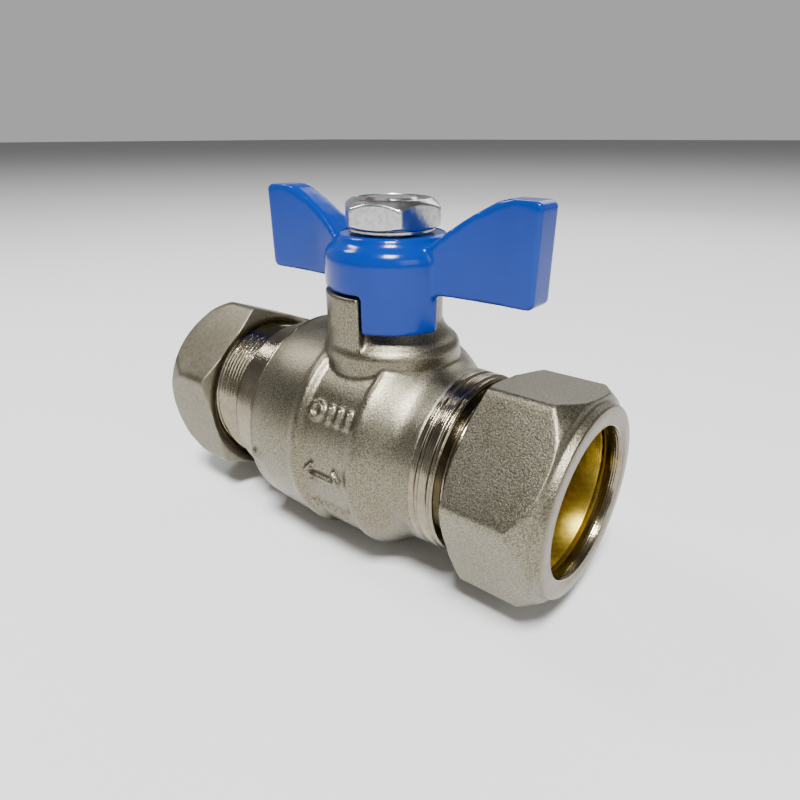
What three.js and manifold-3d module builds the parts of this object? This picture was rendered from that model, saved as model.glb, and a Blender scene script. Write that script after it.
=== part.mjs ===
// Quarter-turn water shutoff valve for 22 mm tube, with a compression joint at each end.
// Millimetres. The pipe runs along X, the stem stands up along +Z, the ball's centre is the origin.
import * as THREE from 'three';
import { mergeVertices } from 'three/addons/utils/BufferGeometryUtils.js';
import Module from 'manifold-3d';

const wasm = await Module();
wasm.setup();

// ---- Driving dimensions ----
const SEGMENTS = 32;
const TUBE_RADIUS = 11.1;        // socket for the 22 mm tube
const PORT_RADIUS = 9.0;         // hole through the ball
const WATERWAY_RADIUS = 9.2;
const BALL_RADIUS = 13.0;
const BODY_LEFT = -17.0;
const SPIGOT_END = 28.2;         // right-hand threaded end of the body
const CONNECTOR_END = -37.9;     // left-hand threaded end of the connector
const THREAD_RADIUS = 13.2;
const BOSS_RADIUS = 7.6;
const POST_RADIUS = 10.1;
const POST_TOP = 24.9;
const POST_FROM = 84;            // degrees from +X, towards +Y
const POST_TO = 281;
const NUT_APOTHEM = 14.95;
const NUT_RIGHT_FACE = 34.9;
const NUT_LEFT_FACE = -44.6;
const NUT_LENGTH = 14.1;
const HUB_RADIUS = 10.1;
const HUB_TOP = 33.0;
const WING_TIP = 24.8;
const WING_BOTTOM = 25.2;
const WING_TOP = 38.6;
const WING_HALF_THICKNESS = 2.3;
const STEM_RADIUS = 4.5;
const STEM_TOP = 37.6;

const RAD = Math.PI / 180;

// ---- Solids from three.js geometry ----
function solid(geometry) {
  const bare = geometry.index ? geometry.toNonIndexed() : geometry;
  bare.deleteAttribute('normal');
  bare.deleteAttribute('uv');
  const merged = mergeVertices(bare, 1e-4);
  const index = merged.index.array;
  const kept = [];
  for (let i = 0; i < index.length; i += 3) {
    const [a, b, c] = [index[i], index[i + 1], index[i + 2]];
    if (a !== b && b !== c && a !== c) kept.push(a, b, c);
  }
  return new wasm.Manifold(new wasm.Mesh({
    numProp: 3,
    vertProperties: new Float32Array(merged.attributes.position.array),
    triVerts: new Uint32Array(kept),
  }));
}

// A solid of revolution. The profile lists [radius, axial] pairs, counter-clockwise.
function turned(profile, axis, segments = SEGMENTS) {
  const points = profile.map(([r, a]) => new THREE.Vector2(r, a));
  points.push(points[0].clone());
  const geometry = new THREE.LatheGeometry(points, segments);
  if (axis === 'x') geometry.rotateZ(-Math.PI / 2);
  if (axis === 'z') geometry.rotateX(Math.PI / 2);
  return solid(geometry);
}

// A ring or rod: radius from inner to outer, between two stations on its axis.
function ring(inner, outer, from, to, axis, segments = SEGMENTS) {
  return turned([[inner, from], [outer, from], [outer, to], [inner, to]], axis, segments);
}

// A profile mirrored end for end and moved, kept counter-clockwise.
function mirrored(profile, shift = 0) {
  return profile.map(([r, a]) => [r, shift - a]).reverse();
}

function block(x0, x1, y0, y1, z0, z1) {
  const geometry = new THREE.BoxGeometry(x1 - x0, y1 - y0, z1 - z0);
  geometry.translate((x0 + x1) / 2, (y0 + y1) / 2, (z0 + z1) / 2);
  return solid(geometry);
}

// A sector of a ring about Z, from one angle to another in degrees.
function sector(inner, outer, fromDeg, toDeg, z0, z1) {
  const shape = new THREE.Shape();
  shape.absarc(0, 0, outer, fromDeg * RAD, toDeg * RAD, false);
  if (inner > 0) shape.absarc(0, 0, inner, toDeg * RAD, fromDeg * RAD, true);
  else shape.lineTo(0, 0);
  const geometry = new THREE.ExtrudeGeometry(shape, { depth: z1 - z0, bevelEnabled: false, curveSegments: 12 });
  geometry.translate(0, 0, z0);
  return solid(geometry);
}

// A six-sided prism along an axis, given half its width across flats.
function hexPrism(apothem, from, to, axis, phaseDeg) {
  const geometry = new THREE.CylinderGeometry(
    apothem / Math.cos(30 * RAD), apothem / Math.cos(30 * RAD), to - from, 6);
  geometry.rotateY(phaseDeg * RAD);
  geometry.translate(0, (from + to) / 2, 0);
  if (axis === 'x') geometry.rotateZ(-Math.PI / 2);
  if (axis === 'z') geometry.rotateX(Math.PI / 2);
  return solid(geometry);
}

const group = new THREE.Group();
group.name = 'water_shutoff_valve';

function addPart(name, manifold, colour, roughness, metalness) {
  const mesh = manifold.getMesh();
  const geometry = new THREE.BufferGeometry();
  const points = new Float32Array(mesh.vertProperties);
  geometry.setAttribute('position', new THREE.BufferAttribute(points, 3));
  geometry.setIndex(new THREE.BufferAttribute(new Uint32Array(mesh.triVerts), 1));
  geometry.computeVertexNormals();
  const material = new THREE.MeshStandardMaterial({ color: colour, roughness, metalness });
  const part = new THREE.Mesh(geometry, material);
  part.name = name;
  group.add(part);
}

// ---- Body casting ----
function bodyOuter() {
  return turned([
    [0, BODY_LEFT], [17.1, BODY_LEFT], [17.45, BODY_LEFT + 0.4], [17.75, -13.7], [18.0, -9], [18.05, -5.6],
    [17.35, -4.4], [17.2, -3.6], [17.2, 4.9], [17.5, 5.6], [17.0, 6.9], [15.9, 8.6], [14.9, 10.1],
    [14.3, 11.6], [14.3, 14.2],
    [14.1, 14.4], [14.1, 18.0], [12.5, 18.6], [12.5, 19.6], [THREAD_RADIUS, 20.2],
    [THREAD_RADIUS, SPIGOT_END - 0.5], [12.7, SPIGOT_END], [0, SPIGOT_END],
  ], 'x');
}

function bodyInner() {
  return turned([
    [0, BODY_LEFT - 1], [14.9, BODY_LEFT - 1], [14.9, -9.0], [13.6, -9.0], [13.6, 7.7], [12.4, 7.7],
    [12.4, 11.5], [WATERWAY_RADIUS, 11.5], [WATERWAY_RADIUS, 17.0], [TUBE_RADIUS, 17.0],
    [TUBE_RADIUS, 26.2], [12.45, 28.2], [12.45, 29.5], [0, 29.5],
  ], 'x');
}

function stemBore() {
  return turned([
    [0, 5], [6.4, 5], [6.4, 16.0], [4.75, 16.0], [4.75, 24.0], [6.05, 24.0], [6.05, 30], [0, 30],
  ], 'z');
}

function makeBody() {
  const boss = turned([
    [0, 14], [10.4, 14], [10.4, 17.0], [9.2, 18.4], [7.9, 19.4], [BOSS_RADIUS, 20.2],
    [BOSS_RADIUS, 28.5], [0, 28.5],
  ], 'z');
  const post = sector(0, POST_RADIUS, POST_FROM, POST_TO, 14, POST_TOP);
  return bodyOuter().add(boss).add(post).subtract(bodyInner()).subtract(stemBore());
}

// ---- Left end connector ----
function makeEndConnector() {
  return turned([
    [TUBE_RADIUS, -27.0], [WATERWAY_RADIUS, -26.4], [WATERWAY_RADIUS, -11.5], [12.4, -11.5],
    [12.4, -9.2], [14.6, -9.2], [14.6, -12.4], [13.3, -12.4], [13.3, -14.2], [14.6, -14.2],
    [14.6, -24.3], [13.2, -24.9], [12.5, -24.9], [12.5, -25.9], [THREAD_RADIUS, -26.5],
    [THREAD_RADIUS, CONNECTOR_END + 0.5], [12.7, CONNECTOR_END], [12.5, CONNECTOR_END],
    [TUBE_RADIUS, CONNECTOR_END + 2],
  ].reverse(), 'x');
}

// A round-section ring about an axis.
function oRing(centreRadius, sectionRadius, station, axis) {
  const geometry = new THREE.TorusGeometry(centreRadius, sectionRadius, 6, 24);
  if (axis === 'x') geometry.rotateY(Math.PI / 2);
  if (axis === 'x') geometry.translate(station, 0, 0);
  if (axis === 'z') geometry.translate(0, 0, station);
  return solid(geometry);
}

// ---- Ball and its seats ----
function makeBall() {
  const sphere = solid(new THREE.SphereGeometry(BALL_RADIUS, SEGMENTS, 18).rotateX(Math.PI / 2));
  const port = ring(0, PORT_RADIUS, -15, 15, 'x');
  const slot = block(-2.7, 2.7, -15, 15, 10.6, 15);
  return sphere.subtract(port).subtract(slot);
}

function makeSeat(side) {
  const clear = BALL_RADIUS + 0.15;
  const profile = [[9.25, 11.3], [9.25, Math.sqrt(clear ** 2 - 9.25 ** 2)]];
  for (const r of [10.2, 11.1]) profile.push([r, Math.sqrt(clear ** 2 - r ** 2)]);
  profile.push([11.1, 7.95], [12.2, 7.95], [12.2, 11.3]);
  return turned(side > 0 ? profile : mirrored(profile), 'x');
}

// ---- Stem and its seals ----
function makeStem() {
  const shaft = turned([
    [0, 13.6], [6.0, 13.6], [6.0, 15.2], [STEM_RADIUS, 15.2], [STEM_RADIUS, 17.9], [3.7, 17.9],
    [3.7, 19.5], [STEM_RADIUS, 19.5], [STEM_RADIUS, 21.1], [3.7, 21.1], [3.7, 22.7],
    [STEM_RADIUS, 22.7], [STEM_RADIUS, 28.5], [3.95, 28.9], [3.95, STEM_TOP - 0.4],
    [3.6, STEM_TOP], [0, STEM_TOP],
  ], 'z', 24);
  const top = block(-5, 5, -2.9, 2.9, 28.9, 40);
  const lower = block(-8, 8, -8, 8, 10, 28.9);
  const tang = block(-2.4, 2.4, -5.2, 5.2, 10.9, 13.8);
  return shaft.intersect(top.add(lower)).add(tang);
}

// ---- Handle ----
function handleHub() {
  return turned([
    [0, 25.2], [HUB_RADIUS, 25.2], [HUB_RADIUS, 29.9], [9.8, 30.9], [9.2, 31.6], [8.3, 32.0],
    [8.1, HUB_TOP], [0, HUB_TOP],
  ], 'z');
}

function wing(side) {
  const shape = new THREE.Shape();
  shape.moveTo(0, WING_BOTTOM);
  shape.lineTo(WING_TIP - 0.6, WING_BOTTOM);
  shape.lineTo(WING_TIP, WING_BOTTOM + 0.6);
  shape.lineTo(WING_TIP, WING_TOP - 0.8);
  shape.lineTo(WING_TIP - 0.8, WING_TOP);
  shape.lineTo(19.6, WING_TOP);
  shape.lineTo(18.4, WING_TOP - 0.3);
  shape.lineTo(14.7, 36.2);
  shape.lineTo(11.2, 34.0);
  shape.lineTo(9.2, 32.4);
  shape.lineTo(0, 32.2);
  shape.closePath();
  const width = 2 * WING_HALF_THICKNESS - 1.2;
  const options = { depth: width, bevelEnabled: true, bevelThickness: 0.6, bevelSize: 0.6,
    bevelOffset: -0.6, bevelSegments: 2 };
  const geometry = new THREE.ExtrudeGeometry(shape, options);
  geometry.translate(0, 0, -width / 2);
  geometry.rotateX(Math.PI / 2);
  if (side < 0) geometry.rotateZ(Math.PI);
  return solid(geometry);
}

function makeHandle() {
  const lug = sector(8.4, HUB_RADIUS, -77.5, -9.5, 19.9, 27);
  const cavity = turned([[0, 19], [8.4, 19], [8.4, 29.4], [0, 29.4]], 'z');
  const hole = ring(0, 4.1, 28, 36, 'z', 24).intersect(block(-6, 6, -3.0, 3.0, 28, 36));
  const nutRoom = ring(0, 7.9, HUB_TOP, 45, 'z');
  return handleHub().add(wing(1)).add(wing(-1)).subtract(nutRoom).subtract(cavity).add(lug).subtract(hole);
}

function makeHandleNut() {
  const prism = hexPrism(6.5, 33.55, 37.5, 'z', 48);
  const round = turned([
    [0, 33.55], [7.0, 33.55], [7.6, 34.0], [7.6, 36.3], [5.75, 37.5], [0, 37.5],
  ], 'z');
  const bore = turned([[0, 33], [4.1, 33], [4.1, 35.9], [5.35, 35.9], [5.35, 39], [0, 39]], 'z');
  return prism.intersect(round).subtract(bore);
}

// ---- Compression nuts and olives ----
const FLAT_NOSE = [[13.7, 0], [14.0, 0.3], [14.2, 1.2], [15.4, 2.2], [17.4, 4.0]];
const ROUND_NOSE = [[13.2, 0], [14.6, 0.6], [15.85, 2.2], [16.75, 4.2], [17.4, 7.5]];

function makeNut(face, side, phaseDeg, nose) {
  const at = (distance) => face - side * distance;
  const outer = [
    [0, 0], ...nose, [17.4, NUT_LENGTH - 1.0], [16.2, NUT_LENGTH], [0, NUT_LENGTH],
  ].map(([r, d]) => [r, at(d)]);
  const inner = [
    [0, -1], [TUBE_RADIUS, -1], [TUBE_RADIUS, 2.3], [13.35, 4.5], [13.35, NUT_LENGTH - 0.9],
    [14.2, NUT_LENGTH + 0.1], [14.2, NUT_LENGTH + 1], [0, NUT_LENGTH + 1],
  ].map(([r, d]) => [r, at(d)]);
  const order = (profile) => (side > 0 ? profile.reverse() : profile);
  const low = Math.min(face, at(NUT_LENGTH));
  const prism = hexPrism(NUT_APOTHEM, low, low + NUT_LENGTH, 'x', phaseDeg);
  return prism.intersect(turned(order(outer), 'x')).subtract(turned(order(inner), 'x'));
}

function makeOlive(face, side) {
  const profile = [
    [11.2, 3.05], [11.45, 3.05], [12.35, 4.6], [12.35, 6.0], [11.45, 8.1], [11.2, 8.1],
  ].map(([r, d]) => [r, face - side * d]);
  return turned(side > 0 ? profile.reverse() : profile, 'x');
}

// ---- Assembly ----
const NICKEL = 0x98927f;
const MACHINED = 0xa8a294;
const BRASS = 0xb08d3e;
const BLUE = 0x2a6fc4;
const ZINC = 0xa9adb3;
const PTFE = 0xe9e6dc;
const RUBBER = 0x1c1c1e;
const NYLON = 0x5a1620;

addPart('body', makeBody(), NICKEL, 0.42, 0.9);
addPart('end_connector', makeEndConnector(), MACHINED, 0.28, 0.95);
addPart('connector_seal', oRing(14.1, 0.5, -13.3, 'x'), RUBBER, 0.7, 0);
addPart('ball', makeBall(), ZINC, 0.15, 1);
addPart('seat_left', makeSeat(-1), PTFE, 0.5, 0);
addPart('seat_right', makeSeat(1), PTFE, 0.5, 0);
addPart('stem', makeStem(), BRASS, 0.35, 0.95);
addPart('thrust_washer', ring(4.7, 6.1, 15.35, 15.85, 'z', 24), PTFE, 0.5, 0);
addPart('stem_oring_lower', oRing(4.2, 0.45, 18.7, 'z'), RUBBER, 0.7, 0);
addPart('stem_oring_upper', oRing(4.2, 0.45, 21.9, 'z'), RUBBER, 0.7, 0);
addPart('packing_ring', ring(4.7, 5.9, 24.1, 25.6, 'z', 24), PTFE, 0.5, 0);
addPart('gland_nut', ring(4.7, 5.95, 25.75, 28.4, 'z', 24), BRASS, 0.35, 0.95);
addPart('handle', makeHandle(), BLUE, 0.3, 0);
addPart('handle_washer', ring(4.25, 6.3, 33.05, 33.5, 'z', 24), ZINC, 0.35, 1);
addPart('handle_nut', makeHandleNut(), ZINC, 0.25, 1);
addPart('nut_locking_ring', ring(4.15, 5.25, 36.0, 37.1, 'z', 24), NYLON, 0.5, 0);
addPart('right_nut', makeNut(NUT_RIGHT_FACE, 1, 21.6, FLAT_NOSE), NICKEL, 0.4, 0.9);
addPart('left_nut', makeNut(NUT_LEFT_FACE, -1, 8.8, ROUND_NOSE), MACHINED, 0.3, 0.95);
addPart('right_olive', makeOlive(NUT_RIGHT_FACE, 1), BRASS, 0.35, 0.95);
addPart('left_olive', makeOlive(NUT_LEFT_FACE, -1), BRASS, 0.35, 0.95);

export default group;
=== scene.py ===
"""Quarter-turn water shutoff valve: nickel-plated casting, blue butterfly handle, compression joints."""
import math

import bmesh
import bpy
from mathutils import Matrix, Vector


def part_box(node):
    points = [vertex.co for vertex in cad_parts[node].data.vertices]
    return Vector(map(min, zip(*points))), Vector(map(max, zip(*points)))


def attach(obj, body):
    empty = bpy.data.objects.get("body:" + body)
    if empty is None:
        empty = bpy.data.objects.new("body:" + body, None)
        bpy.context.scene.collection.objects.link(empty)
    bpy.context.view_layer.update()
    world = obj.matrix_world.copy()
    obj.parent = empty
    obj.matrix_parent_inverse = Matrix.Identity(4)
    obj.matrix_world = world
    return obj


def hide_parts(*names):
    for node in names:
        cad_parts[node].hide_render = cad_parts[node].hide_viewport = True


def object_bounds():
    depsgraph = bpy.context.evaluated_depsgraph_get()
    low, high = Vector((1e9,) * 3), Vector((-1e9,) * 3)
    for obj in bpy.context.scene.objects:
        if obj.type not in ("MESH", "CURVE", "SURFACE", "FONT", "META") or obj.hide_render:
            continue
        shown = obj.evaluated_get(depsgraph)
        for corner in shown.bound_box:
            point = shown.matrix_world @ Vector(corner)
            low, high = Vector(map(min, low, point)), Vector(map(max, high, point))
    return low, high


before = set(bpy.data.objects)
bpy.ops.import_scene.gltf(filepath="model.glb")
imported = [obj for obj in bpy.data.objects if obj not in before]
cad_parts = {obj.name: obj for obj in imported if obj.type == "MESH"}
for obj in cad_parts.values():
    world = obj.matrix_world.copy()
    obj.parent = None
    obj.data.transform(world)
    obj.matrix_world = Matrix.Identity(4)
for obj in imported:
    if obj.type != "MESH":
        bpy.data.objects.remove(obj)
CAD_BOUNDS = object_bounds()

bl_info = {
    "name": "Water Shutoff Valve",
    "version": (1, 0, 0),
    "blender": (4, 5, 0),
    "location": "View3D > Sidebar > Valve",
    "description": "Builds the visible pieces of a quarter-turn shutoff valve around its frame",
    "category": "Object",
}

# Lengths below are in millimetres, stations are places along an axis, and meshes are made in metres.
MM = 0.001
TURN = 2.0 * math.pi
BODY = "valve_body"
SPINDLE = "spindle"


# ---------------------------------------------------------------- settings

class ValveSizes(bpy.types.PropertyGroup):
    """Sizes of the visible pieces, in millimetres."""

    hub_radius: bpy.props.FloatProperty(
        name="Handle hub radius", description="Outside radius of the handle's round skirt",
        default=10.05, min=8.0, max=12.0)
    wing_half_thickness: bpy.props.FloatProperty(
        name="Wing half thickness", description="Half the thickness of each wing at its middle",
        default=2.25, min=1.0, max=4.0)
    thread_pitch: bpy.props.FloatProperty(
        name="Thread pitch", description="Axial distance between two crests of the pipe thread",
        default=1.814, min=0.5, max=3.0)
    thread_radius: bpy.props.FloatProperty(
        name="Thread radius", description="Radius over the crests of the pipe thread",
        default=13.15, min=10.0, max=15.0)
    nut_apothem: bpy.props.FloatProperty(
        name="Nut half width", description="Half the width across the flats of a compression nut",
        default=14.93, min=10.0, max=20.0)
    cast_voxel: bpy.props.FloatProperty(
        name="Casting resolution", description="Size of the cells that blend the casting's parts",
        default=0.33, min=0.2, max=1.0)


class ValveColours(bpy.types.PropertyGroup):
    """Colours of the finishes."""

    nickel: bpy.props.FloatVectorProperty(
        name="Cast nickel", description="Nickel plate over the sand-cast body",
        subtype="COLOR", size=3, min=0, max=1, default=(0.212, 0.194, 0.143))
    bright: bpy.props.FloatVectorProperty(
        name="Turned nickel", description="Nickel plate over turned brass",
        subtype="COLOR", size=3, min=0, max=1, default=(0.28, 0.246, 0.182))
    enamel: bpy.props.FloatVectorProperty(
        name="Handle enamel", description="Gloss enamel on the handle",
        subtype="COLOR", size=3, min=0, max=1, default=(0.0004, 0.026, 0.22))
    brass: bpy.props.FloatVectorProperty(
        name="Bare brass", description="Unplated brass inside the joints",
        subtype="COLOR", size=3, min=0, max=1, default=(0.60, 0.46, 0.07))
    zinc: bpy.props.FloatVectorProperty(
        name="Zinc plate", description="Zinc-plated steel of the handle nut",
        subtype="COLOR", size=3, min=0, max=1, default=(0.60, 0.61, 0.63))
    nylon: bpy.props.FloatVectorProperty(
        name="Locking nylon", description="Locking ring inside the handle nut",
        subtype="COLOR", size=3, min=0, max=1, default=(0.16, 0.02, 0.035))


def sizes():
    """The scene's valve sizes."""
    return bpy.context.scene.valve_sizes


def colours():
    """The scene's valve colours."""
    return bpy.context.scene.valve_colours


# ---------------------------------------------------------------- mesh helpers

def new_object(name, data):
    """An object in the scene's collection, at the origin and unscaled."""
    obj = bpy.data.objects.new(name, data)
    bpy.context.scene.collection.objects.link(obj)
    return obj


def mesh_from(name, verts, faces):
    """A mesh from points in millimetres, merged and with its faces turned outward."""
    mesh = bpy.data.meshes.new(name)
    mesh.from_pydata([Vector(v) * MM for v in verts], [], faces)
    mesh.validate()
    work = bmesh.new()
    work.from_mesh(mesh)
    bmesh.ops.remove_doubles(work, verts=work.verts, dist=1e-7)
    bmesh.ops.recalc_face_normals(work, faces=work.faces)
    work.to_mesh(mesh)
    work.free()
    return mesh


def polar(axis, station, radius, angle):
    """A point at an angle from +Z towards -Y about X, or from -Y towards +X about Z."""
    if axis == "X":
        return (station, -radius * math.sin(angle), radius * math.cos(angle))
    return (radius * math.sin(angle), -radius * math.cos(angle), station)


def hex_radius(angle, apothem, phase, sharpness=46.0):
    """Radius of a hexagon with slightly rounded corners, at an angle; a corner lies at phase."""
    total = 0.0
    for side in range(6):
        lean = math.cos(angle - phase - math.radians(30 + 60 * side))
        if lean > 0:
            total += (lean / apothem) ** sharpness
    return total ** (-1.0 / sharpness)


def soft_min(a, b, reach):
    """The smaller of two lengths, rounded over where they cross."""
    gap = max(reach - abs(a - b), 0.0) / reach
    return min(a, b) - gap * gap * reach * 0.25


def turned(name, axis, profile, segments=144, hexagon=None):
    """A closed solid of revolution. Each profile row is (station, radius) or (station, radius, 'hex').

    A 'hex' row takes the smaller of its radius and the hexagon's, so flats meet chamfers as if cut.
    """
    verts, faces = [], []
    count = len(profile)
    for k in range(segments):
        angle = TURN * k / segments
        for row in profile:
            radius = row[1]
            if len(row) > 2:
                apothem, phase, edge = hexagon
                radius = soft_min(radius, hex_radius(angle, apothem, phase), edge)
            verts.append(polar(axis, row[0], radius, angle))
    for k in range(segments):
        here, there = k * count, ((k + 1) % segments) * count
        for j in range(count):
            nxt = (j + 1) % count
            faces.append((here + j, here + nxt, there + nxt, there + j))
    return new_object(name, mesh_from(name, verts, faces))


def steps(a, b, number, extra=()):
    """Rows from one (station, radius) to another, evenly spaced."""
    rows = []
    for k in range(number + 1):
        t = k / number
        rows.append((a[0] + (b[0] - a[0]) * t, a[1] + (b[1] - a[1]) * t) + tuple(extra))
    return rows


def rounded(rows, radius=0.12, arc=3):
    """The same closed profile with each plain corner rounded by a small radius."""
    out = []
    count = len(rows)
    for k, row in enumerate(rows):
        here = Vector(row[:2])
        back = Vector(rows[k - 1][:2]) - here
        ahead = Vector(rows[(k + 1) % count][:2]) - here
        reach = min(radius, back.length * 0.4, ahead.length * 0.4)
        if reach < 0.01 or abs(back.normalized().dot(ahead.normalized()) + 1) < 0.01:
            out.append(tuple(row))
            continue
        start, end = here + back.normalized() * reach, here + ahead.normalized() * reach
        for j in range(arc + 1):
            t = j / arc
            point = start * (1 - t) ** 2 + here * 2 * t * (1 - t) + end * t ** 2
            out.append((point.x, point.y) + tuple(row[2:]))
    return out


def smooth_shade(obj, angle):
    """Smooth shading that breaks where faces meet at more than an angle in degrees."""
    obj.data.shade_smooth()
    obj.data.set_sharp_from_angle(angle=math.radians(angle))


def baked(obj):
    """Turns an object's modifiers into a plain mesh."""
    bpy.context.view_layer.update()
    graph = bpy.context.evaluated_depsgraph_get()
    mesh = bpy.data.meshes.new_from_object(obj.evaluated_get(graph), depsgraph=graph)
    obj.modifiers.clear()
    old = obj.data
    obj.data = mesh
    bpy.data.meshes.remove(old)
    mesh.name = obj.name
    return obj


def joined(name, objects):
    """One object holding the meshes of several, which are then removed."""
    work = bmesh.new()
    for obj in objects:
        work.from_mesh(obj.data)
    mesh = bpy.data.meshes.new(name)
    work.to_mesh(mesh)
    work.free()
    for obj in objects:
        drop(obj)
    return new_object(name, mesh)


def drop(obj):
    """Removes an object and its mesh."""
    mesh = obj.data
    bpy.data.objects.remove(obj)
    bpy.data.meshes.remove(mesh)


def fused(obj, voxel, passes):
    """Blends overlapping closed shells into one skin with rounded inside and outside corners."""
    remesh = obj.modifiers.new("blend", "REMESH")
    remesh.mode = "VOXEL"
    remesh.voxel_size = voxel * MM
    soften = obj.modifiers.new("soften", "SMOOTH")
    soften.factor = 0.5
    soften.iterations = passes
    return baked(obj)


def cut(obj, cutters):
    """Takes each cutter's shape out of an object, then removes the cutters."""
    for cutter in cutters:
        take = obj.modifiers.new("cut", "BOOLEAN")
        take.operation = "DIFFERENCE"
        take.solver = "EXACT"
        take.object = cutter
        baked(obj)
        drop(cutter)
    return obj


def rod(name, axis, start, end, radius, segments):
    """A plain round bar between two stations."""
    return turned(name, axis, [(start, 0.0), (start, radius), (end, radius), (end, 0.0)], segments)


def plate(name, outline, low, high, plane="XZ"):
    """A flat outline made into a slab; XZ outlines get their thickness along Y."""
    place = {"XZ": lambda u, v, w: (u, w, v), "XY": lambda u, v, w: (u, v, w)}[plane]
    count = len(outline)
    verts = [place(u, v, low) for u, v in outline] + [place(u, v, high) for u, v in outline]
    faces = [tuple(range(count)), tuple(range(2 * count - 1, count - 1, -1))]
    for k in range(count):
        nxt = (k + 1) % count
        faces.append((k, nxt, count + nxt, count + k))
    return new_object(name, mesh_from(name, verts, faces))


def finish_piece(obj, body, nodes, material, sharp=40.0):
    """Gives a piece its shading, finish and body, and hides the nodes that it stands for."""
    smooth_shade(obj, sharp)
    obj.data.materials.clear()
    obj.data.materials.append(material)
    for polygon in obj.data.polygons:
        polygon.material_index = 0
    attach(obj, body)
    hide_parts(*nodes)
    return obj


# ---------------------------------------------------------------- thread by geometry nodes

RIDGE_DEPTH = 0.9
RIDGE_HALF_WIDTH = 0.82
SPIRAL_POINTS = 96


def thread_tree():
    """A helical ridge along Z: a spiral swept with a diamond section."""
    tree = bpy.data.node_groups.get("helical_ridge")
    if tree:
        return tree
    tree = bpy.data.node_groups.new("helical_ridge", "GeometryNodeTree")
    face = tree.interface
    face.new_socket("Geometry", in_out="INPUT", socket_type="NodeSocketGeometry")
    for label, value in (("Radius", 0.012), ("Length", 0.006), ("Turns", 3.0), ("Depth", 0.0011),
                         ("Half Width", 0.0008)):
        face.new_socket(label, in_out="INPUT", socket_type="NodeSocketFloat").default_value = value
    face.new_socket("Finish", in_out="INPUT", socket_type="NodeSocketMaterial")
    face.new_socket("Geometry", in_out="OUTPUT", socket_type="NodeSocketGeometry")
    nodes, links = tree.nodes, tree.links
    given = nodes.new("NodeGroupInput")
    out = nodes.new("NodeGroupOutput")
    spiral = nodes.new("GeometryNodeCurveSpiral")
    spiral.inputs["Resolution"].default_value = SPIRAL_POINTS
    links.new(given.outputs["Turns"], spiral.inputs["Rotations"])
    links.new(given.outputs["Radius"], spiral.inputs["Start Radius"])
    links.new(given.outputs["Radius"], spiral.inputs["End Radius"])
    links.new(given.outputs["Length"], spiral.inputs["Height"])
    upright = nodes.new("GeometryNodeSetCurveNormal")
    upright.mode = "Z_UP"
    links.new(spiral.outputs[0], upright.inputs["Curve"])
    diamond = nodes.new("GeometryNodeCurvePrimitiveCircle")
    diamond.inputs["Resolution"].default_value = 4
    diamond.inputs["Radius"].default_value = 1.0
    scale = nodes.new("ShaderNodeCombineXYZ")
    links.new(given.outputs["Depth"], scale.inputs["X"])
    links.new(given.outputs["Half Width"], scale.inputs["Y"])
    scale.inputs["Z"].default_value = 1.0
    shaped = nodes.new("GeometryNodeTransform")
    links.new(diamond.outputs[0], shaped.inputs["Geometry"])
    links.new(scale.outputs[0], shaped.inputs["Scale"])
    sweep = nodes.new("GeometryNodeCurveToMesh")
    sweep.inputs["Fill Caps"].default_value = True
    links.new(upright.outputs[0], sweep.inputs["Curve"])
    links.new(shaped.outputs[0], sweep.inputs["Profile Curve"])
    real = nodes.new("GeometryNodeRealizeInstances")
    paint = nodes.new("GeometryNodeSetMaterial")
    links.new(sweep.outputs[0], real.inputs[0])
    links.new(real.outputs[0], paint.inputs["Geometry"])
    links.new(given.outputs["Finish"], paint.inputs["Material"])
    links.new(paint.outputs[0], out.inputs[0])
    return tree


def thread(name, start, end, material):
    """A right-hand thread along X between two stations."""
    size = sizes()
    length = end - start
    obj = new_object(name, bpy.data.meshes.new(name))
    modifier = obj.modifiers.new("thread", "NODES")
    modifier.node_group = thread_tree()
    values = {"Radius": (size.thread_radius - RIDGE_DEPTH) * MM, "Length": length * MM,
              "Turns": length / size.thread_pitch, "Depth": RIDGE_DEPTH * MM,
              "Half Width": RIDGE_HALF_WIDTH * MM, "Finish": material}
    for item in modifier.node_group.interface.items_tree:
        if item.in_out == "INPUT" and item.name in values:
            modifier[item.identifier] = values[item.name]
    baked(obj)
    lay_down = Matrix.Rotation(math.radians(90), 4, "Y")
    obj.data.transform(Matrix.Translation((start * MM, 0, 0)) @ lay_down)
    work = bmesh.new()
    work.from_mesh(obj.data)
    bmesh.ops.recalc_face_normals(work, faces=work.faces)
    work.to_mesh(obj.data)
    work.free()
    return obj


# ---------------------------------------------------------------- materials

STAIN = (0.86, 0.84, 0.80, 1.0)
WHITE = (1.0, 1.0, 1.0, 1.0)


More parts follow.
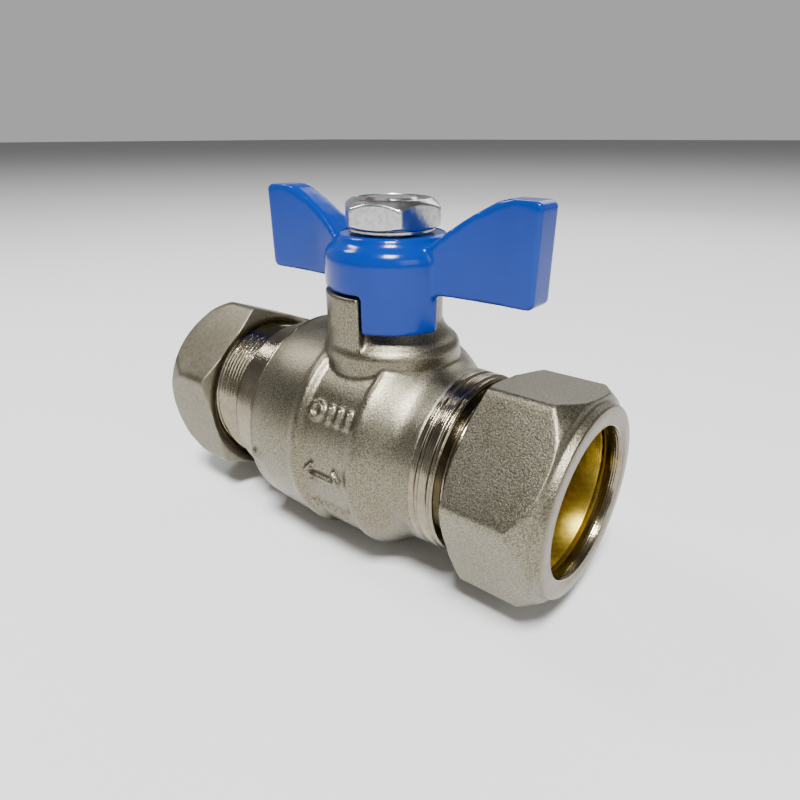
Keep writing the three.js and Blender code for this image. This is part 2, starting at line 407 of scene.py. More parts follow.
def grain_group():
    """Surface grain from two noises: a fine height, a fine tone and a broad blotch."""
    group = bpy.data.node_groups.get("surface_grain")
    if group:
        return group
    group = bpy.data.node_groups.new("surface_grain", "ShaderNodeTree")
    face = group.interface
    for label, value in (("Grain Scale", 1500.0), ("Blotch Scale", 120.0), ("Tone Spread", 0.2)):
        face.new_socket(label, in_out="INPUT", socket_type="NodeSocketFloat").default_value = value
    for label in ("Height", "Tone", "Blotch"):
        face.new_socket(label, in_out="OUTPUT", socket_type="NodeSocketFloat")
    nodes, links = group.nodes, group.links
    given, out = nodes.new("NodeGroupInput"), nodes.new("NodeGroupOutput")
    place = nodes.new("ShaderNodeTexCoord")
    fine = nodes.new("ShaderNodeTexNoise")
    fine.inputs["Detail"].default_value = 3.0
    fine.inputs["Roughness"].default_value = 0.6
    broad = nodes.new("ShaderNodeTexNoise")
    broad.inputs["Detail"].default_value = 4.0
    for noise, scale in ((fine, "Grain Scale"), (broad, "Blotch Scale")):
        links.new(place.outputs["Object"], noise.inputs["Vector"])
        links.new(given.outputs[scale], noise.inputs["Scale"])
    centred = nodes.new("ShaderNodeMath")
    centred.operation = "SUBTRACT"
    links.new(fine.outputs["Fac"], centred.inputs[0])
    centred.inputs[1].default_value = 0.5
    spread = nodes.new("ShaderNodeMath")
    spread.operation = "MULTIPLY_ADD"
    links.new(centred.outputs[0], spread.inputs[0])
    links.new(given.outputs["Tone Spread"], spread.inputs[1])
    spread.inputs[2].default_value = 0.5
    links.new(fine.outputs["Fac"], out.inputs["Height"])
    links.new(spread.outputs[0], out.inputs["Tone"])
    links.new(broad.outputs["Fac"], out.inputs["Blotch"])
    return group


def plain_material(name):
    """A new material, its nodes, its links and its shader."""
    material = bpy.data.materials.new(name)
    material.use_nodes = True
    shader = material.node_tree.nodes["Principled BSDF"]
    return material, material.node_tree.nodes, material.node_tree.links, shader


def shade(colour, factor):
    """A colour made darker or lighter, with alpha."""
    return tuple(min(1.0, max(0.0, c * factor)) for c in colour) + (1.0,)


def ramp(nodes, links, source, low, high, dark, light):
    """A colour that goes from dark to light as the source goes from low to high."""
    node = nodes.new("ShaderNodeValToRGB")
    node.color_ramp.elements[0].position = low
    node.color_ramp.elements[1].position = high
    node.color_ramp.elements[0].color = dark
    node.color_ramp.elements[1].color = light
    links.new(source, node.inputs["Fac"])
    return node.outputs["Color"]


def spread_value(nodes, links, source, low, high):
    """The middle of a noise's range spread over low to high."""
    node = nodes.new("ShaderNodeMapRange")
    node.inputs["From Min"].default_value = 0.3
    node.inputs["From Max"].default_value = 0.7
    node.inputs["To Min"].default_value = low
    node.inputs["To Max"].default_value = high
    links.new(source, node.inputs["Value"])
    return node.outputs["Result"]


def grain_node(nodes, grain, blotch=120.0, tone=0.2):
    """The grain group set to a fine scale, a broad scale and a tone contrast."""
    group = nodes.new("ShaderNodeGroup")
    group.node_tree = grain_group()
    group.inputs["Grain Scale"].default_value = grain
    group.inputs["Blotch Scale"].default_value = blotch
    group.inputs["Tone Spread"].default_value = tone
    return group


def relief(nodes, links, height, depth, strength=1.0):
    """A bump node driven by a height; its depth is in metres."""
    bump = nodes.new("ShaderNodeBump")
    bump.inputs["Strength"].default_value = strength
    bump.inputs["Distance"].default_value = depth
    links.new(height, bump.inputs["Height"])
    return bump


def turning_marks(nodes, links, pitch):
    """Wavering rings along X, as a lathe leaves them."""
    place = nodes.new("ShaderNodeTexCoord")
    wave = nodes.new("ShaderNodeTexWave")
    wave.wave_type = "BANDS"
    wave.bands_direction = "X"
    wave.inputs["Scale"].default_value = 1.0 / pitch
    wave.inputs["Distortion"].default_value = 1.5
    wave.inputs["Detail"].default_value = 2.0
    wave.inputs["Detail Scale"].default_value = 3.0
    links.new(place.outputs["Object"], wave.inputs["Vector"])
    return wave.outputs["Fac"]


def metal(name, colour, roughness, grain, grain_depth, tone, blotch=120.0, rings=None, spread=0.12):
    """A plated or bare metal: grain in its colour, roughness and relief.

    Rings, when given, are the pitch and the depth of its turning marks in metres.
    """
    material, nodes, links, shader = plain_material(name)
    shader.inputs["Metallic"].default_value = 1.0
    group = grain_node(nodes, grain, blotch, tone)
    fine, broad = group.outputs["Tone"], group.outputs["Blotch"]
    speckle = ramp(nodes, links, fine, 0.3, 0.7, shade(colour, 0.6), shade(colour, 1.4))
    stain = ramp(nodes, links, broad, 0.35, 0.65, STAIN, WHITE)
    mixed = nodes.new("ShaderNodeMix")
    mixed.data_type = "RGBA"
    mixed.blend_type = "MULTIPLY"
    mixed.inputs[0].default_value = 1.0
    links.new(speckle, mixed.inputs[6])
    links.new(stain, mixed.inputs[7])
    links.new(mixed.outputs[2], shader.inputs["Base Color"])
    rough = spread_value(nodes, links, broad, roughness - spread / 2, roughness + spread / 2)
    links.new(rough, shader.inputs["Roughness"])
    bump = relief(nodes, links, group.outputs["Height"], grain_depth)
    if rings:
        pitch, depth = rings
        marks = relief(nodes, links, turning_marks(nodes, links, pitch), depth)
        links.new(bump.outputs["Normal"], marks.inputs["Normal"])
        bump = marks
    links.new(bump.outputs["Normal"], shader.inputs["Normal"])
    return material


def enamel(name, colour):
    """Gloss enamel over metal, with a faint orange-peel surface and tone drift."""
    material, nodes, links, shader = plain_material(name)
    group = grain_node(nodes, 420.0, blotch=90.0)
    broad = group.outputs["Blotch"]
    tint = ramp(nodes, links, broad, 0.35, 0.65, shade(colour, 0.93), shade(colour, 1.07))
    links.new(tint, shader.inputs["Base Color"])
    rough = spread_value(nodes, links, broad, 0.14, 0.2)
    links.new(rough, shader.inputs["Roughness"])
    shader.inputs["Specular IOR Level"].default_value = 0.25
    shader.inputs["Coat Weight"].default_value = 0.1
    shader.inputs["Coat Roughness"].default_value = 0.06
    bump = relief(nodes, links, group.outputs["Height"], 0.00005, strength=0.6)
    links.new(bump.outputs["Normal"], shader.inputs["Normal"])
    return material


def soft_plastic(name, colour, roughness):
    """A moulded or machined plastic or rubber, with a fine grain."""
    material, nodes, links, shader = plain_material(name)
    group = grain_node(nodes, 900.0)
    fine = group.outputs["Tone"]
    tint = ramp(nodes, links, fine, 0.3, 0.7, shade(colour, 0.88), shade(colour, 1.08))
    links.new(tint, shader.inputs["Base Color"])
    rough = spread_value(nodes, links, group.outputs["Blotch"], roughness - 0.06, roughness + 0.06)
    links.new(rough, shader.inputs["Roughness"])
    bump = relief(nodes, links, group.outputs["Height"], 0.00003)
    links.new(bump.outputs["Normal"], shader.inputs["Normal"])
    return material


def finish(name):
    """The material of that name, made the first time that it is asked for."""
    found = bpy.data.materials.get("valve_" + name)
    if found:
        return found
    hue = colours()
    # Each row: colour, roughness, grain per metre, grain depth in metres, tone contrast.
    metals = {
        "cast_nickel": (hue.nickel, 0.30, 5000.0, 0.00005, 2.2),
        "nut_nickel": (hue.nickel, 0.32, 4600.0, 0.00006, 2.2),
        "turned_nickel": (hue.bright, 0.16, 900.0, 0.00001, 0.4),
        "satin_nickel": (hue.nickel, 0.42, 1400.0, 0.00003, 0.5),
        "face_nickel": (shade(hue.bright, 0.78)[:3], 0.32, 1100.0, 0.00002, 0.5),
        "brass": (hue.brass, 0.30, 1200.0, 0.00003, 0.7),
        "zinc": (hue.zinc, 0.25, 1500.0, 0.00002, 0.5),
        "ball": ((0.8, 0.8, 0.8), 0.08, 900.0, 0.000004, 0.2),
    }
    extras = {
        "cast_nickel": {"blotch": 60.0, "spread": 0.05},
        "nut_nickel": {"blotch": 60.0, "spread": 0.05},
        "turned_nickel": {"rings": (0.0011, 0.00002), "spread": 0.08},
        "brass": {"rings": (0.0009, 0.00002)},
    }
    plastics = {
        "ptfe": ((0.82, 0.80, 0.75), 0.5),
        "rubber": ((0.02, 0.02, 0.022), 0.62),
        "nylon": (hue.nylon, 0.38),
    }
    if name in metals:
        return metal("valve_" + name, *metals[name], **extras.get(name, {}))
    if name in plastics:
        return soft_plastic("valve_" + name, *plastics[name])
    return enamel("valve_" + name, hue.enamel)


# ---------------------------------------------------------------- body casting

CAST_PROFILE = [
    (-16.6, 0.0), (-16.6, 17.3), (-13.7, 17.6), (-9.6, 17.75), (-7.0, 17.8), (-5.9, 18.05), (-5.2, 18.0),
    (-4.7, 17.5), (-4.3, 17.15), (-3.4, 17.1), (-1.0, 17.1), (2.0, 17.1), (4.6, 17.1), (5.0, 17.25),
    (5.5, 17.55), (6.2, 17.4), (7.2, 16.8), (8.4, 15.95), (9.6, 15.1), (10.8, 14.45), (12.0, 14.2),
    (14.4, 14.2), (14.4, 0.0),
]
BOSS_PROFILE = [
    (13.0, 0.0), (13.0, 10.7), (16.6, 10.5), (17.4, 10.0), (18.2, 9.0), (19.2, 8.2), (20.4, 7.7),
    (28.3, 7.6), (28.3, 0.0),
]
NUB_PROFILE = [
    (-1.4, 0.0), (-1.2, 0.8), (-0.65, 1.25), (0.0, 1.4), (0.65, 1.25), (1.2, 0.8), (1.4, 0.0),
]
RUN_BORE = [
    (-18.0, 0.0), (-18.0, 14.9), (-9.0, 14.9), (-9.0, 13.6), (7.7, 13.6), (7.7, 12.4), (15.0, 12.4),
    (15.0, 0.0),
]
STEM_BORE = [
    (5.0, 0.0), (5.0, 6.4), (16.0, 6.4), (16.0, 4.75), (24.0, 4.75), (24.0, 6.05), (30.0, 6.05),
    (30.0, 0.0),
]
POST_ARC = (84.0, 281.0)
POST_RADIUS = 10.1
POST_BOTTOM, POST_TOP = 14.0, 25.0
NUB_STATION, NUB_ARC, NUB_HEIGHT = -15.3, 6.0, 16.75
MARK_FLANK = 17.3
MARK_FOOT, MARK_TOP = 16.4, 17.85
MARK_WIDTH = 0.62
MARK_RING = (-2.4, -9.3)
MARK_RING_RADIUS = 1.15


def arc_outline(radius, start, end, inner=0.0, count=40):
    """An outline of a sector in XY, between two angles in degrees from +X towards +Y."""
    angles = [math.radians(start + (end - start) * k / count) for k in range(count + 1)]
    points = [(radius * math.cos(a), radius * math.sin(a)) for a in angles]
    if inner:
        points += [(inner * math.cos(a), inner * math.sin(a)) for a in reversed(angles)]
    else:
        points.append((0.0, 0.0))
    return points


def on_flank(x, arc, height):
    """A point on the casting's front flank: x along the pipe, arc in degrees below the side."""
    return polar("X", x, height, math.radians(90 + arc))


def raised_bar(name, start, end):
    """A straight raised bar laid on the round flank, from one (x, arc in mm) to another."""
    run = Vector((end[0] - start[0], end[1] - start[1]))
    side = Vector((-run.y, run.x)).normalized() * MARK_WIDTH / 2
    verts, faces = [], []
    count = 10
    for k in range(count + 1):
        centre = Vector(start) + run * k / count
        for across, height in ((-1, MARK_FOOT), (1, MARK_FOOT), (0.8, MARK_TOP), (-0.8, MARK_TOP)):
            point = centre + side * across
            verts.append(on_flank(point.x, math.degrees(point.y / MARK_FLANK), height))
    for k in range(count):
        for j in range(4):
            a, b = k * 4 + j, k * 4 + (j + 1) % 4
            faces.append((a, b, b + 4, a + 4))
    faces += [(3, 2, 1, 0), tuple(count * 4 + j for j in range(4))]
    return new_object(name, mesh_from(name, verts, faces))


def cast_marks():
    """Plain raised marks on the flank: a ring and bars above, a two-way arrow, a row of bars below."""
    def on_ring(k):
        angle = TURN * k / 8
        return (MARK_RING[0] + MARK_RING_RADIUS * math.cos(angle),
                MARK_RING[1] + MARK_RING_RADIUS * math.sin(angle))

    bars = [(on_ring(k), on_ring(k + 1)) for k in range(8)]
    for x in (0.2, 2.0, 3.8):
        bars.append(((x, -10.6), (x, -8.0)))
    bars += [((-3.4, 0.6), (4.0, 0.6)), ((-3.4, 0.6), (-1.9, -1.0)), ((-3.4, 0.6), (-1.9, 2.2)),
             ((4.0, 0.6), (2.5, -1.0)), ((4.0, 0.6), (2.5, 2.2))]
    for x in (-3.2, -1.6, 0.0, 1.6, 3.2):
        bars.append(((x, 6.6), (x, 8.4)))
    return [raised_bar("mark_%02d" % k, a, b) for k, (a, b) in enumerate(bars)]


def casting():
    """The cast body: shell, boss, stop post, nub and marks blended together, then bored."""
    shell = turned("casting_shell", "X", CAST_PROFILE, 160)
    boss = turned("casting_boss", "Z", BOSS_PROFILE, 96)
    post = plate("casting_post", arc_outline(POST_RADIUS, *POST_ARC), POST_BOTTOM, POST_TOP, "XY")
    nub = turned("casting_nub", "Z", NUB_PROFILE, 24)
    nub_place = Vector(on_flank(NUB_STATION, NUB_ARC, NUB_HEIGHT)) * MM
    nub.data.transform(Matrix.Translation(nub_place))
    parts = [shell, boss, post, nub] + cast_marks()
    block = fused(joined("body_casting", parts), sizes().cast_voxel, 3)
    cutters = [turned("cut_run", "X", RUN_BORE, 96), turned("cut_stem", "Z", STEM_BORE, 72)]
    return cut(block, cutters)


def body_rim():
    """The bright turned edge round the casting's left mouth."""
    return turned("body_rim", "X", rounded([
        (-17.0, 14.95), (-17.0, 17.1), (-16.75, 17.38), (-16.3, 17.38), (-16.3, 14.95)], 0.1), 160)


def body_spigot():
    """The turned right end: two grooves, the relief, the threaded spigot and the tube's socket."""
    outer = [
        (11.5, 9.2), (11.5, 12.35), (14.2, 12.35), (14.2, 14.15), (15.0, 14.15), (15.25, 13.75),
        (15.6, 13.75), (15.85, 14.1), (17.0, 14.1), (17.25, 13.7), (17.6, 13.7), (17.8, 13.95),
        (18.1, 13.7), (18.5, 12.6), (19.2, 12.1), (27.6, 12.1), (28.2, 12.1),
    ]
    inner = [(28.2, 12.0), (26.2, 11.1), (17.0, 11.1), (17.0, 9.2)]
    core = turned("spigot_core", "X", rounded(outer + inner, 0.1), 144)
    helix = thread("spigot_thread", 19.6, 26.4, finish("turned_nickel"))
    return joined("body_spigot", [core, helix])


BARE_RADIUS = 12.0


def bare_bore(obj):
    """Leaves the inside of a turned end as unplated brass."""
    obj.data.materials.append(finish("brass"))
    for polygon in obj.data.polygons:
        if math.hypot(polygon.center.y, polygon.center.z) / MM < BARE_RADIUS:
            polygon.material_index = 1


class VALVE_OT_body(bpy.types.Operator):
    """Builds the cast body with its turned ends"""

    bl_idname = "valve.body"
    bl_label = "Body casting"

    def execute(self, context):
        plated = finish("turned_nickel")
        finish_piece(casting(), BODY, ["body"], finish("cast_nickel"), 60)
        finish_piece(body_rim(), BODY, ["body"], plated)
        bare_bore(finish_piece(body_spigot(), BODY, ["body"], plated))
        return {"FINISHED"}


# ---------------------------------------------------------------- end connector

def end_connector():
    """The turned left end: a sealed shank, a collar and a threaded spigot."""
    outer = [
        (-9.3, 12.45), (-9.3, 14.6), (-12.4, 14.6), (-12.4, 13.3), (-14.2, 13.3), (-14.2, 14.6),
        (-17.1, 14.6), (-23.6, 14.6), (-24.2, 14.3), (-24.7, 13.2), (-25.1, 12.1), (-37.2, 12.1),
        (-37.9, 12.1),
    ]
    inner = [
        (-37.9, 11.9), (-36.4, 11.1), (-26.4, 11.1), (-26.4, 9.2), (-11.5, 9.2), (-11.5, 12.45),
    ]
    core = turned("connector_core", "X", rounded(outer + inner, 0.12), 144)
    helix = thread("connector_thread", -35.786, -25.4, finish("turned_nickel"))
    return joined("end_connector_turned", [core, helix])


class VALVE_OT_connector(bpy.types.Operator):
    """Builds the turned left end connector"""

    bl_idname = "valve.connector"
    bl_label = "End connector"

    def execute(self, context):
        turned_end = end_connector()
        finish_piece(turned_end, BODY, ["end_connector"], finish("turned_nickel"))
        bare_bore(turned_end)
        return {"FINISHED"}


# ---------------------------------------------------------------- compression joints

# Rows of (distance behind the nut's end face, radius), from the face back to the flats.
HEX = ("hex",)
FLAT_NOSE = [(0.0, 13.8), (0.1, 13.98), (0.24, 14.06), (1.0, 14.25), (1.25, 14.4)]
FLAT_NOSE += steps((1.35, 14.7), (1.65, 15.3), 3, HEX)
FLAT_NOSE += steps((1.8, 15.42), (4.7, 17.5), 20, HEX)
ROUND_NOSE = [(0.0, 13.2), (0.15, 13.7), (0.5, 14.2)]
ROUND_NOSE += steps((0.8, 14.5), (2.6, 15.8), 10, HEX)
ROUND_NOSE += steps((2.9, 15.95), (7.6, 17.35), 18, HEX)
NUT_LENGTH = 14.1
NUT_OVER_CORNERS = 17.6
NUT_EDGE = 0.2
RIGHT_NUT_PHASE = 21.6
LEFT_NUT_PHASE = 8.8


def compression_nut(name, face, side, phase, nose):
    """A hexagon nut: flats cut by a front and a back chamfer, a short collar, and a stepped bore."""
    flats_from, flats_to = nose[-1][0] + 0.3, NUT_LENGTH - 1.0
    rows = nose + steps((flats_from, NUT_OVER_CORNERS), (flats_to, NUT_OVER_CORNERS), 10, HEX)
    rows += steps((NUT_LENGTH - 0.85, 17.4), (NUT_LENGTH, 15.2), 10, HEX)
    rows += [(NUT_LENGTH, 15.0), (NUT_LENGTH, 14.3), (NUT_LENGTH - 0.9, 13.45), (4.6, 13.4),
             (2.35, 11.15), (0.35, 11.1), (0.0, 11.4)]
    profile = [(face - side * row[0],) + tuple(row[1:]) for row in rows]
    hexagon = (sizes().nut_apothem, math.radians(phase), NUT_EDGE)
    return turned(name, "X", profile, 360, hexagon)


def olive(name, face, side):
    """The ring that the nut squeezes onto the tube, tapered at both ends."""
    rows = [(3.1, 11.2), (3.1, 11.4), (4.6, 12.2), (6.0, 12.15), (7.6, 11.35), (7.6, 11.2)]
    return turned(name, "X", rounded([(face - side * d, r) for d, r in rows], 0.15), 120)


def nut_finishes(obj, face, side):
    """A nut's end face is smoother, its mouth is bright, and deeper in it is bare brass."""
    for look in ("face_nickel", "brass", "turned_nickel"):
        obj.data.materials.append(finish(look))
    for polygon in obj.data.polygons:
        depth = (face - polygon.center.x / MM) * side
        radius = math.hypot(polygon.center.y, polygon.center.z) / MM
        if radius < 13.45 and depth > 2.0:
            polygon.material_index = 2
        elif radius < 11.6:
            polygon.material_index = 3
        elif depth < 0.1:
            polygon.material_index = 1


class VALVE_OT_joints(bpy.types.Operator):
    """Builds both compression nuts and their olives"""

    bl_idname = "valve.joints"
    bl_label = "Compression joints"

    def execute(self, context):
        right_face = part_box("right_nut")[1][0] / MM
        left_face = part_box("left_nut")[0][0] / MM
        plan = (("right", right_face, 1, RIGHT_NUT_PHASE, "nut_nickel", FLAT_NOSE),
                ("left", left_face, -1, LEFT_NUT_PHASE, "satin_nickel", ROUND_NOSE))
        for word, face, side, phase, look, nose in plan:
            nut = compression_nut(word + "_nut_hex", face, side, phase, nose)
            finish_piece(nut, word + "_nut_body", [word + "_nut"], finish(look), 50)
            nut_finishes(nut, face, side)
            ring = olive(word + "_olive_ring", face, side)
            finish_piece(ring, word + "_olive_body", [word + "_olive"], finish("brass"))
        return {"FINISHED"}


# ---------------------------------------------------------------- handle

# Rows of (distance from the stem's axis, height), from the root out to the tip.
WING_LOWER = [(4.0, 25.5), (10.5, 25.35), (17.0, 25.3), (23.9, 25.4), (24.5, 25.9)]
WING_UPPER = [
    (4.0, 31.4), (8.6, 31.8), (10.0, 32.9), (11.8, 34.35), (14.0, 35.75), (16.2, 37.0), (18.4, 38.1),
    (19.8, 38.45), (24.1, 38.4), (24.6, 37.9),
]
WING_ROOT, WING_TIP = 4.0, 24.6
WING_COLUMNS, WING_ROWS = 30, 12
HANDLE_VOXEL = 0.3


def level(points, x):
    """The height of an outline at x, taken straight between its points."""
    for (x0, z0), (x1, z1) in zip(points, points[1:]):
        if x0 <= x <= x1:
            return z0 + (z1 - z0) * (x - x0) / max(x1 - x0, 1e-6)
    return points[-1][1]


def wing_thickness(x):
    """Half the wing's thickness at x: swollen at the root, dished a little towards the tip."""
    root = max(0.0, 1.0 - (x - 7.5) / 7.0)
    dish = math.sin(math.pi * min(1.0, max(0.0, (x - 12) / 12)))
    return sizes().wing_half_thickness + 1.5 * root * root - 0.18 * dish


def wing(name, side):
    """One wing: a closed grid with a front, a back and an edge all round."""
    verts, faces, grid = [], [], {}
    for sheet, sign in (("front", -1), ("back", 1)):
        for i in range(WING_COLUMNS + 1):
            x = WING_ROOT + (WING_TIP - WING_ROOT) * i / WING_COLUMNS
            low, high = level(WING_LOWER, x), level(WING_UPPER, x)
            for j in range(WING_ROWS + 1):
                grid[sheet, i, j] = len(verts)
                verts.append((side * x, sign * wing_thickness(x), low + (high - low) * j / WING_ROWS))

    def quad(*corners):
        faces.append([grid[corner] for corner in corners])

    for i in range(WING_COLUMNS):
        for j in range(WING_ROWS):
            for sheet in ("front", "back"):
                quad((sheet, i, j), (sheet, i + 1, j), (sheet, i + 1, j + 1), (sheet, i, j + 1))
        for j in (0, WING_ROWS):
            quad(("front", i, j), ("front", i + 1, j), ("back", i + 1, j), ("back", i, j))
    for j in range(WING_ROWS):
        for i in (0, WING_COLUMNS):
            quad(("front", i, j), ("front", i, j + 1), ("back", i, j + 1), ("back", i, j))
    return new_object(name, mesh_from(name, verts, faces))


def handle():
    """The handle: hub, two wings and stop lug blended together, then hollowed under the hub."""
    radius = sizes().hub_radius
    hub = turned("handle_hub", "Z", [
        (25.3, 0.0), (25.3, radius), (29.6, radius), (30.4, radius - 0.15), (31.2, radius - 0.7),
        (31.8, radius - 1.5), (32.2, 8.2), (32.9, 8.0), (32.9, 0.0)], 128)
    lug = plate("handle_lug", arc_outline(radius, -77.5, -9.5, 8.45, 24), 20.0, 27.0, "XY")
    parts = [hub, wing("wing_right", 1), wing("wing_left", -1), lug]
    block = fused(joined("butterfly_handle", parts), HANDLE_VOXEL, 9)
    cutters = [
        rod("cut_cavity", "Z", 19.0, 29.4, 8.45, 96),
        rod("cut_hole", "Z", 29.0, 34.0, 4.1, 64),
        rod("cut_seat", "Z", 32.75, 45.0, 7.6, 96),
    ]
    return cut(block, cutters)


class VALVE_OT_handle(bpy.types.Operator):
    """Builds the butterfly handle"""

    bl_idname = "valve.handle"
    bl_label = "Butterfly handle"

    def execute(self, context):
        finish_piece(handle(), SPINDLE, ["handle"], finish("enamel"), 55)
        return {"FINISHED"}


# ---------------------------------------------------------------- spindle and fixings

HANDLE_NUT_APOTHEM = 6.48
HANDLE_NUT_PHASE = 48.0
HANDLE_NUT_EDGE = 0.22
BALL_RADIUS = 12.98
BALL_PORT = 9.0
FLAT_REACH = 2.9


def handle_nut():
    """The hexagon nut on top, chamfered at both ends, with a recess for its locking ring."""
    rows = steps((33.6, 6.4), (34.1, 7.5), 5, HEX) + steps((34.3, 7.5), (36.2, 7.5), 5, HEX)
    rows += steps((36.35, 7.4), (37.35, 6.0), 12, HEX)
    rows += [(37.48, 5.75), (37.5, 5.6), (37.2, 5.42), (36.4, 5.38), (35.95, 5.3), (35.9, 4.15),
             (33.6, 4.12)]
    hexagon = (HANDLE_NUT_APOTHEM, math.radians(HANDLE_NUT_PHASE), HANDLE_NUT_EDGE)
    return turned("handle_nut_hex", "Z", rows, 288, hexagon)


def stem():
    """The stem: flange, two grooves, a shaft with two flats, and the tang that turns the ball."""
    rows = rounded([
        (13.6, 0.0), (13.6, 6.0), (15.2, 6.0), (15.2, 4.5), (17.9, 4.5), (17.9, 3.7), (19.5, 3.7),
        (19.5, 4.5), (21.1, 4.5), (21.1, 3.7), (22.7, 3.7), (22.7, 4.5), (28.5, 4.5), (28.9, 3.95),
        (37.1, 3.95), (37.6, 3.5), (37.6, 0.0)], 0.08)
    shaft = turned("stem_turned", "Z", rows, 96)
    flats = []
    for side in (-1, 1):
        near, far = sorted((side * FLAT_REACH, side * 6.0))
        flats.append(plate("cut_flat", [(-6, 28.9), (6, 28.9), (6, 39), (-6, 39)], near, far))
    tang_face = [(-2.4, 10.9), (2.4, 10.9), (2.4, 13.8), (-2.4, 13.8)]
    tang = plate("stem_tang", tang_face, -5.2, 5.2)
    return joined("stem_shaft", [cut(shaft, flats), tang])


def ball():
    """The ball with its straight port."""
    start = math.asin(BALL_PORT / BALL_RADIUS)
    angles = [start + (math.pi - 2 * start) * k / 48 for k in range(49)]
    rows = [(BALL_RADIUS * math.cos(angle), BALL_RADIUS * math.sin(angle)) for angle in angles]
    return turned("ball_bored", "X", rows, 96)


class VALVE_OT_spindle(bpy.types.Operator):
    """Builds the ball, the stem, the handle nut, its washer and its locking ring"""

    bl_idname = "valve.spindle"
    bl_label = "Spindle and fixings"

    def execute(self, context):
        washer = turned("handle_washer_ring", "Z", rounded([
            (33.06, 4.25), (33.06, 6.3), (33.5, 6.3), (33.5, 4.25)], 0.08), 96)
        locking = turned("locking_ring", "Z", rounded([
            (36.0, 4.12), (36.0, 5.28), (37.0, 5.28), (37.1, 4.7), (37.0, 4.12)], 0.2), 96)
        plan = (
            (ball(), "ball", "ball_chrome", "ball"),
            (stem(), "stem", "brass", "zinc"),
            (handle_nut(), "handle_nut", "zinc_steel", "zinc"),
            (washer, "handle_washer", "zinc_steel", "zinc"),
            (locking, "nut_locking_ring", "locking_nylon", "nylon"),
        )
        for obj, node, slot, look in plan:
            finish_piece(obj, SPINDLE, [node], finish(look))
        return {"FINISHED"}


class VALVE_OT_inner(bpy.types.Operator):
    """Gives the hidden seals, seats and gland their finishes"""

    bl_idname = "valve.inner"
    bl_label = "Inner parts"

    def execute(self, context):
        looks = {
            "ptfe": ("seat_left", "seat_right", "thrust_washer", "packing_ring"),
            "rubber": ("connector_seal", "stem_oring_lower", "stem_oring_upper"),
            "brass": ("gland_nut",),
        }
        for look, node_names in looks.items():
            for node in node_names:
                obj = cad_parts[node]
                obj.data.materials.clear()
                obj.data.materials.append(finish(look))
        return {"FINISHED"}


# ---------------------------------------------------------------- stage

# Metres, then degrees of yaw, downward pitch and roll.
CAMERA_PLACE = (0.05769, -0.06883, 0.04527)
CAMERA_TURN = (39.18, 26.87, -0.18)
CAMERA_LENS = 26.50
CAMERA_SENSOR = 36.0
CAMERA_SHIFT = (-0.0014, 0.0423)
CAMERA_NEAR = 0.001
FLOOR_REACH = 9000.0
FLOOR_DROP = 0.1
FLOOR_COLOUR = (0.78, 0.78, 0.78, 1)
HORIZON_COLOUR = (0.78, 0.78, 0.78, 1)
OVERHEAD_COLOUR = (0.20, 0.20, 0.205, 1)
WORLD_STRENGTH = 0.55

# Each light: name, direction from the valve, distance and size in metres, power in watts.
LIGHTS = (
    ("key", (0.24, -0.36, 0.90), 1.05, (0.25, 0.25), 26.0),
    ("side", (-0.62, -0.15, 0.75), 0.42, (0.08, 0.08), 0.6),
    ("fill", (0.9, -0.35, 0.5), 0.5, (0.25, 0.25), 0.5),
    ("rim", (-0.2, 0.9, 0.6), 0.5, (0.3, 0.2), 0.5),
)


def camera():
    """The view: it looks down and to the left at the valve's right end."""
    yaw, pitch, roll = (math.radians(a) for a in CAMERA_TURN)
    ahead = Vector((-math.sin(yaw) * math.cos(pitch), math.cos(yaw) * math.cos(pitch), -math.sin(pitch)))
    right = Vector((math.cos(yaw), math.sin(yaw), 0.0))
    up = right.cross(ahead)
    side = right * math.cos(roll) + up * math.sin(roll)
    top = up * math.cos(roll) - right * math.sin(roll)
    data = bpy.data.cameras.new("camera")
    data.lens = CAMERA_LENS
    data.sensor_width = CAMERA_SENSOR
    data.shift_x, data.shift_y = CAMERA_SHIFT
    data.clip_start = CAMERA_NEAR
    obj = new_object("camera", data)
    turn = Matrix((side, top, -ahead)).transposed()
    obj.matrix_world = Matrix.Translation(CAMERA_PLACE) @ turn.to_4x4()
    bpy.context.scene.camera = obj


def softbox(name, direction, distance, size, power):
    """A flat light that faces the valve from a direction."""
    data = bpy.data.lights.new(name, "AREA")
    data.shape = "RECTANGLE"
    data.size, data.size_y = size
    data.energy = power
    obj = new_object(name, data)
    towards = Vector(direction).normalized()
    obj.location = towards * distance
    obj.rotation_euler = towards.to_track_quat("Z", "Y").to_euler()


def studio_world(scene):
    """A pale surround that darkens overhead, so turned metal has something to reflect."""
    world = bpy.data.worlds.new("studio")
    scene.world = world
    world.use_nodes = True
    nodes, links = world.node_tree.nodes, world.node_tree.links
    place = nodes.new("ShaderNodeTexCoord")
    split = nodes.new("ShaderNodeSeparateXYZ")
    links.new(place.outputs["Generated"], split.inputs[0])
    fade = ramp(nodes, links, split.outputs["Z"], 0.22, 0.62, HORIZON_COLOUR, OVERHEAD_COLOUR)
    links.new(fade, nodes["Background"].inputs["Color"])
    nodes["Background"].inputs["Strength"].default_value = WORLD_STRENGTH


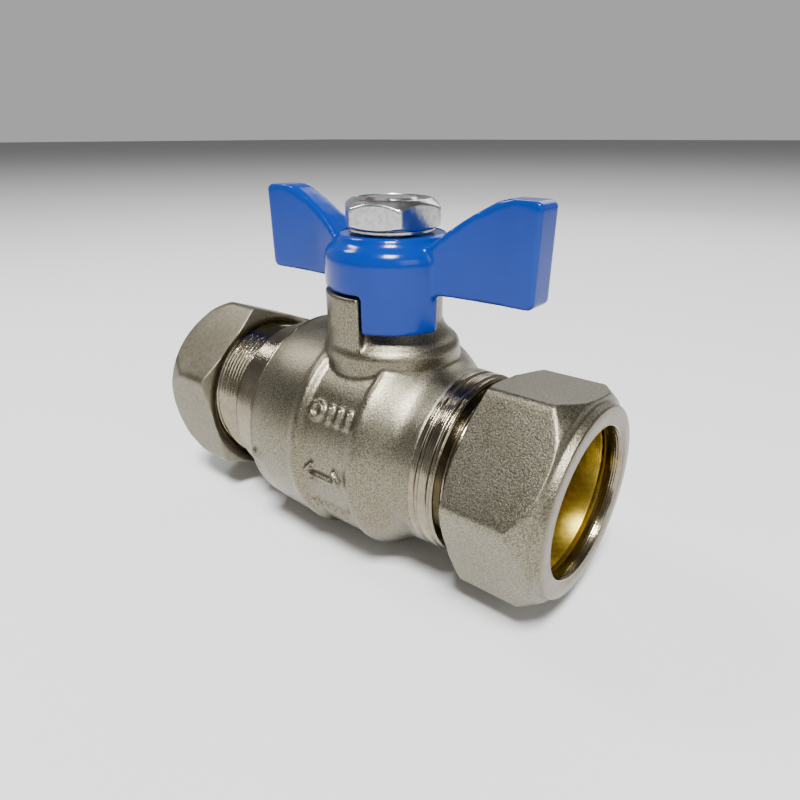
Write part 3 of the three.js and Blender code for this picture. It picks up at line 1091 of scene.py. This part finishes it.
def pale_floor():
    """The wide plain floor that the valve lies on."""
    level_z = CAD_BOUNDS[0][2] / MM - FLOOR_DROP
    corners = ((-1, -1), (1, -1), (1, 1), (-1, 1))
    verts = [(FLOOR_REACH * x, FLOOR_REACH * y, level_z) for x, y in corners]
    floor = new_object("floor", mesh_from("floor", verts, [(0, 1, 2, 3)]))
    material, _, _, shader = plain_material("pale_floor")
    shader.inputs["Base Color"].default_value = FLOOR_COLOUR
    shader.inputs["Roughness"].default_value = 0.9
    floor.data.materials.append(material)


class VALVE_OT_stage(bpy.types.Operator):
    """Sets the floor, the soft studio light and the camera"""

    bl_idname = "valve.stage"
    bl_label = "Stage"

    def execute(self, context):
        camera()
        pale_floor()
        studio_world(context.scene)
        for light in LIGHTS:
            softbox(*light)
        return {"FINISHED"}


# ---------------------------------------------------------------- panel and registration

class VALVE_PT_panel(bpy.types.Panel):
    """Sizes, colours and the steps that build the valve"""

    bl_label = "Water Shutoff Valve"
    bl_idname = "VALVE_PT_panel"
    bl_space_type = "VIEW_3D"
    bl_region_type = "UI"
    bl_category = "Valve"

    def draw(self, context):
        layout = self.layout
        for group in (context.scene.valve_sizes, context.scene.valve_colours):
            box = layout.box()
            for key in group.__annotations__:
                box.prop(group, key)
        for cls in OPERATORS:
            layout.operator(cls.bl_idname)


OPERATORS = (VALVE_OT_stage, VALVE_OT_body, VALVE_OT_connector, VALVE_OT_joints, VALVE_OT_handle,
             VALVE_OT_spindle, VALVE_OT_inner)
CLASSES = (ValveSizes, ValveColours) + OPERATORS + (VALVE_PT_panel,)


def register():
    """Adds the settings, the operators and the panel."""
    for cls in CLASSES:
        bpy.utils.register_class(cls)
    bpy.types.Scene.valve_sizes = bpy.props.PointerProperty(type=ValveSizes)
    bpy.types.Scene.valve_colours = bpy.props.PointerProperty(type=ValveColours)


def unregister():
    """Takes away what register added."""
    del bpy.types.Scene.valve_colours
    del bpy.types.Scene.valve_sizes
    for cls in reversed(CLASSES):
        bpy.utils.unregister_class(cls)


def main():
    """Builds everything."""
    register()
    bpy.ops.valve.stage()
    bpy.ops.valve.body()
    bpy.ops.valve.connector()
    bpy.ops.valve.joints()
    bpy.ops.valve.handle()
    bpy.ops.valve.spindle()
    bpy.ops.valve.inner()


if __name__ == "__main__":
    main()
